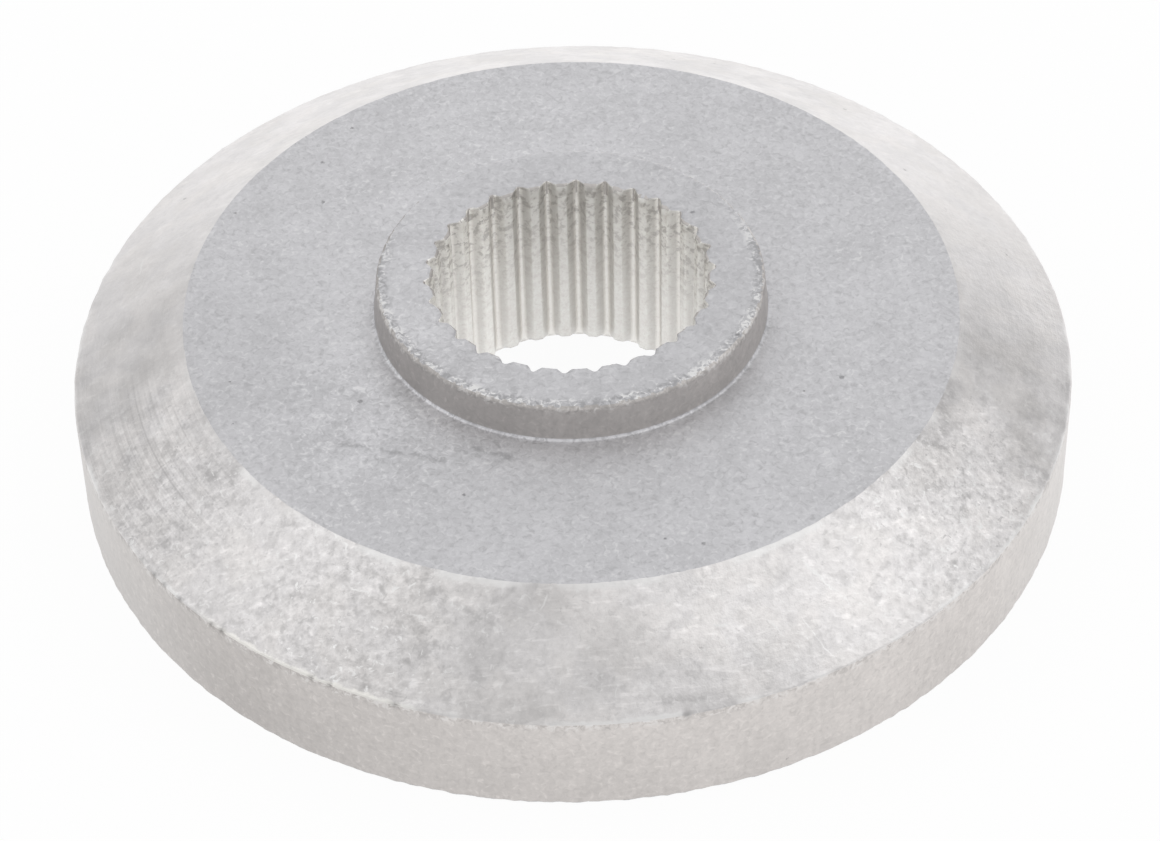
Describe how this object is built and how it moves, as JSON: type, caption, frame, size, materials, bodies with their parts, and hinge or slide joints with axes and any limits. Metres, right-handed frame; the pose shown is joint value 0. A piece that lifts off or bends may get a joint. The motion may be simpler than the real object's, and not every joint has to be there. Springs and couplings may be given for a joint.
{
  "type": "mower blade adapter",
  "caption": "Round sintered steel mower blade adapter with a straight rim, conical shoulder, flat blade seat, low pilot boss and splined through bore.",
  "frame": {"origin": "bore axis at the flat underside", "axes": "+Z along the bore axis, up through the boss; +X through the middle of a spline groove"},
  "size_m": [0.055, 0.055, 0.012],
  "materials": {
    "sintered_steel": "matt, fine-grained, with a turned shoulder"
  },
  "bodies": {
    "root": {"blade_adapter": "sintered_steel"}
  },
  "joints": []
}
